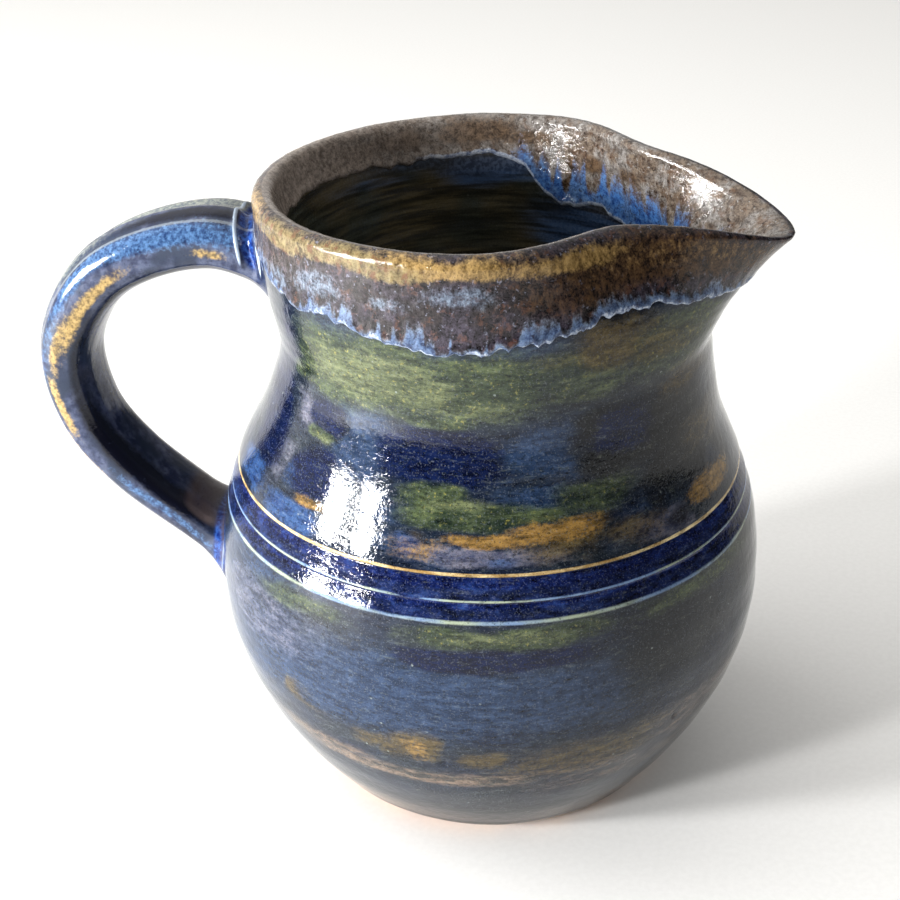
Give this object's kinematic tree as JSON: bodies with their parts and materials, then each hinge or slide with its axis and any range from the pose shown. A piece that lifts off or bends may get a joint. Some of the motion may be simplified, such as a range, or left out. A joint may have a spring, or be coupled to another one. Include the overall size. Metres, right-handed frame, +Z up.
{
  "type": "ceramic pitcher",
  "caption": "Small round-bellied glazed stoneware pitcher with a pulled pouring spout and a strap handle, for pouring milk or cream or for display.",
  "frame": {"origin": "centre of the flat base, on the surface that the pitcher stands on", "axes": "+Z up, along the axis of the thrown body; +X horizontally down the spout; the handle is on the -X side"},
  "size_m": [0.145, 0.1096, 0.125],
  "materials": {
    "stoneware_clay": "bare fired stoneware, matt and slightly gritty",
    "handle_clay": "bare fired stoneware, matt",
    "luting_clay": "bare fired stoneware, matt",
    "blue_glaze": "gloss cobalt-blue glaze, mottled with olive green, slate and ochre, breaking pale on edges",
    "liner_glaze": "gloss near-black blue-brown glaze over throwing rings",
    "rim_glaze": "gloss dark brown glaze, mottled, running to pale blue at its lower edge and ochre on the lip",
    "handle_glaze": "gloss blue glaze, khaki and ochre along the edges"
  },
  "bodies": {
    "root": {"body": "stoneware_clay", "handle": "handle_clay", "handle_upper_joint": "luting_clay", "handle_lower_joint": "luting_clay", "outer_glaze": "blue_glaze", "liner_glaze": "liner_glaze", "rim_glaze": "rim_glaze", "handle_glaze": "handle_glaze"}
  },
  "joints": []
}
